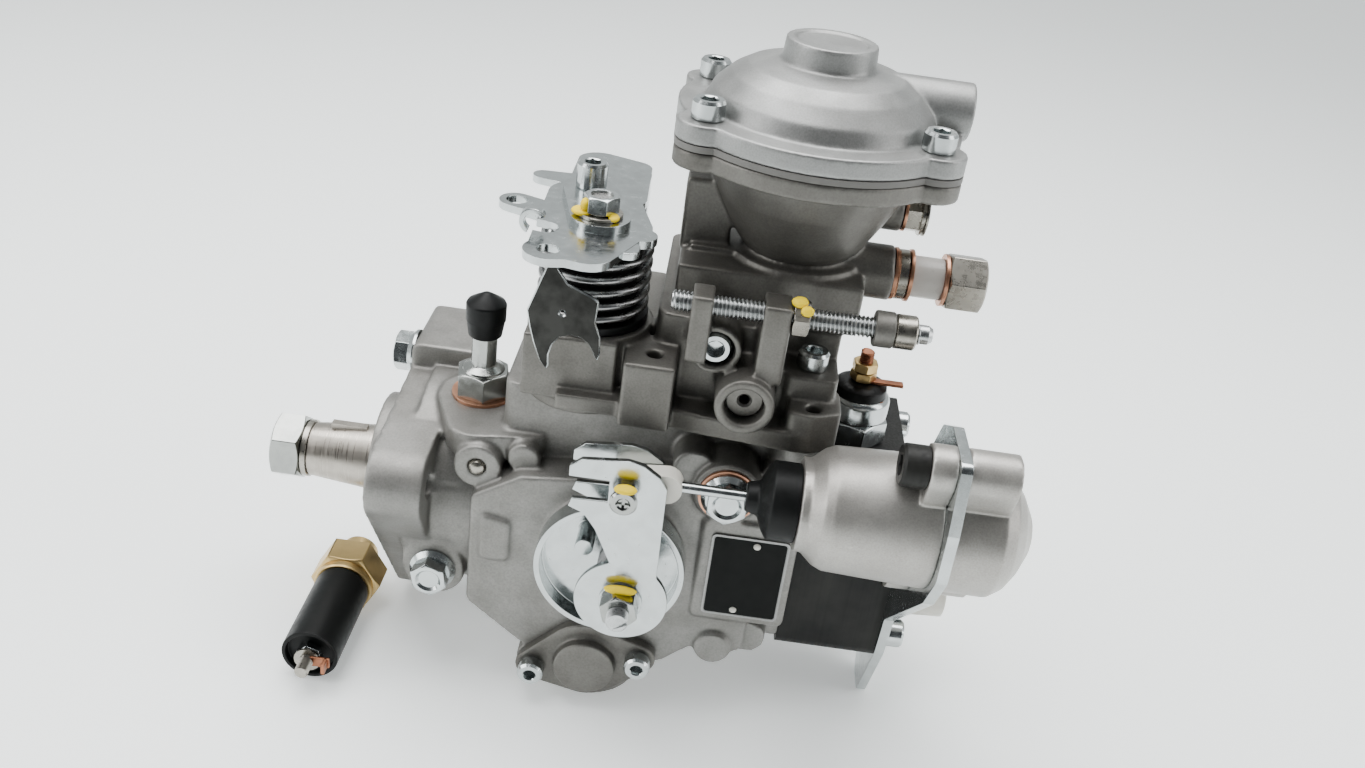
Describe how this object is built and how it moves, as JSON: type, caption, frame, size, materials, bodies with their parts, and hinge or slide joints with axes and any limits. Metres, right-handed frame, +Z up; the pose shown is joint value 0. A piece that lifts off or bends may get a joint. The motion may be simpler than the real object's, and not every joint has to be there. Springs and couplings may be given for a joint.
{
  "type": "diesel injection pump",
  "caption": "Distributor-type diesel injection pump with mounting flange, tapered drive shaft, boost compensator, throttle lever and cold-start actuator.",
  "frame": {"origin": "drive shaft axis at the mounting flange's mating face", "axes": "+X along the drive shaft towards the hydraulic head, +Z up, -Y towards the name plate side"},
  "size_m": [0.2554, 0.1379, 0.234],
  "materials": {
    "cast_aluminium": "bead-blasted casting",
    "zinc_steel": "bright zinc plate",
    "ground_steel": "ground",
    "black_steel": "black oxide",
    "spring_steel": "oiled spring wire",
    "black_rubber": "satin",
    "black_plastic": "matte",
    "white_plastic": "satin",
    "copper": "bare copper",
    "brass": "machined",
    "plate_black": "black anodised",
    "copper_terminal": "bare copper",
    "cloth_rubber": "woven"
  },
  "bodies": {
    "pump": {"drive_housing": "cast_aluminium", "governor_cover": "cast_aluminium", "compensator_cover": "cast_aluminium", "boost_diaphragm": "cloth_rubber", "boost_spring": "spring_steel", "cover_screws": "zinc_steel", "case_screws": "zinc_steel", "bolts_and_plugs": "zinc_steel", "copper_washers": "copper", "return_fittings": "zinc_steel", "overflow_sleeve": "white_plastic", "inlet_fitting": "zinc_steel", "inlet_cap": "black_plastic", "timing_covers": "cast_aluminium", "name_plate": "plate_black", "hydraulic_head": "black_steel", "delivery_valve_holders": "zinc_steel", "delivery_caps": "white_plastic", "shutoff_body": "zinc_steel", "shutoff_insulator": "black_plastic", "shutoff_terminal": "copper_terminal", "wax_cylinder": "cast_aluminium", "wax_bracket": "zinc_steel", "wax_rear_cap": "cast_aluminium", "wax_boot": "black_rubber", "wax_screw": "black_steel", "spring_cup": "zinc_steel", "cold_spring": "spring_steel", "throttle_seal": "black_rubber", "throttle_spring": "spring_steel", "speed_screw": "zinc_steel", "speed_screw_sleeve": "black_plastic", "speed_screw_nuts": "zinc_steel", "shaft_seal": "black_rubber", "feed_pump_ring": "ground_steel", "governor_spindle": "ground_steel"},
    "shaft": {"drive_shaft": "ground_steel", "shaft_nut": "zinc_steel", "feed_pump_rotor": "ground_steel"},
    "cam": {"cam_plate": "ground_steel", "plunger": "ground_steel"},
    "governor_weights": {"weight_carrier": "ground_steel"},
    "rollers": {"roller_ring": "ground_steel"},
    "advance_piston": {"timing_piston": "cast_aluminium"},
    "regulating_lever": {"governor_lever": "ground_steel"},
    "sliding_sleeve": {"governor_sleeve": "ground_steel"},
    "spill_sleeve": {"control_sleeve": "ground_steel"},
    "boost_rod": {"boost_pin": "ground_steel"},
    "armature": {"shutoff_armature": "ground_steel"},
    "throttle": {"throttle_shaft": "ground_steel", "throttle_lever": "zinc_steel", "throttle_fork": "ground_steel", "throttle_fasteners": "zinc_steel"},
    "cold_start": {"cold_lever": "zinc_steel", "cold_lever_fasteners": "zinc_steel"},
    "actuator_rod": {"rod_bush": "white_plastic", "wax_rod": "zinc_steel"},
    "loose_solenoid": {"loose_hex": "brass", "loose_barrel": "black_plastic", "loose_terminal": "copper_terminal"}
  },
  "joints": [
    {"name": "shaft_spin", "type": "hinge", "parent": "pump", "child": "shaft", "pos_m": [0, 0, 0], "axis": [1, 0, 0], "continuous": true},
    {"name": "cam_spin", "type": "hinge", "parent": "pump", "child": "cam", "pos_m": [0.09, 0, 0], "axis": [1, 0, 0], "continuous": true},
    {"name": "weights_spin", "type": "hinge", "parent": "pump", "child": "governor_weights", "pos_m": [0.05, 0, 0.036], "axis": [1, 0, 0], "continuous": true},
    {"name": "ring_turn", "type": "hinge", "parent": "pump", "child": "rollers", "pos_m": [0.078, 0, 0], "axis": [1, 0, 0], "range_deg": [0, 10], "stiffness_Nm_per_rad": 1, "springref_deg": -11.46},
    {"name": "advance_slide", "type": "slide", "parent": "pump", "child": "advance_piston", "axis": [0, 1, 0], "range_m": [0, 0.0075]},
    {"name": "lever_tilt", "type": "hinge", "parent": "pump", "child": "regulating_lever", "pos_m": [0.1065, 0, 0.026], "axis": [0, 1, 0], "range_deg": [0, 8.5]},
    {"name": "sleeve_slide", "type": "slide", "parent": "pump", "child": "sliding_sleeve", "axis": [1, 0, 0], "range_m": [0, 0.0014], "stiffness_N_per_m": 400, "springref_m": -0.001},
    {"name": "spill_slide", "type": "slide", "parent": "pump", "child": "spill_sleeve", "axis": [1, 0, 0], "range_m": [-0.0025, 0]},
    {"name": "boost_stroke", "type": "slide", "parent": "pump", "child": "boost_rod", "axis": [0, 0, -1], "range_m": [0, 0.005], "stiffness_N_per_m": 3000, "springref_m": -0.003, "deforming": ["boost_spring", "boost_diaphragm"]},
    {"name": "armature_stroke", "type": "slide", "parent": "pump", "child": "armature", "axis": [0, 0, 1], "range_m": [0, 0.0015], "stiffness_N_per_m": 2000, "springref_m": -0.001},
    {"name": "throttle_turn", "type": "hinge", "parent": "pump", "child": "throttle", "pos_m": [0.0665, -0.024, 0.1], "axis": [0, 0, 1], "range_deg": [0, 35], "stiffness_Nm_per_rad": 0.5, "springref_deg": -11.46},
    {"name": "cold_start_turn", "type": "hinge", "parent": "pump", "child": "cold_start", "pos_m": [0.0885, -0.06, 0.0055], "axis": [0, -1, 0], "range_deg": [0, 12], "stiffness_Nm_per_rad": 0.5, "springref_deg": -11.46},
    {"name": "rod_slide", "type": "slide", "parent": "pump", "child": "actuator_rod", "axis": [-1, 0, 0], "range_m": [0, 0.009]},
    {"name": "loose_slide", "type": "slide", "parent": "pump", "child": "loose_solenoid", "axis": [0, -1, 0], "range_m": [0, 0.12]}
  ],
  "couplings": [
    {"joint": "cam_spin", "follows": "shaft_spin", "ratio": 1},
    {"joint": "weights_spin", "follows": "shaft_spin", "ratio": -1.5},
    {"joint": "advance_slide", "follows": "ring_turn", "m_per_rad": 0.041},
    {"joint": "lever_tilt", "follows": "sleeve_slide", "rad_per_m": 100},
    {"joint": "spill_slide", "follows": "sleeve_slide", "ratio": -1.7},
    {"joint": "rod_slide", "follows": "cold_start_turn", "m_per_rad": 0.0415}
  ]
}
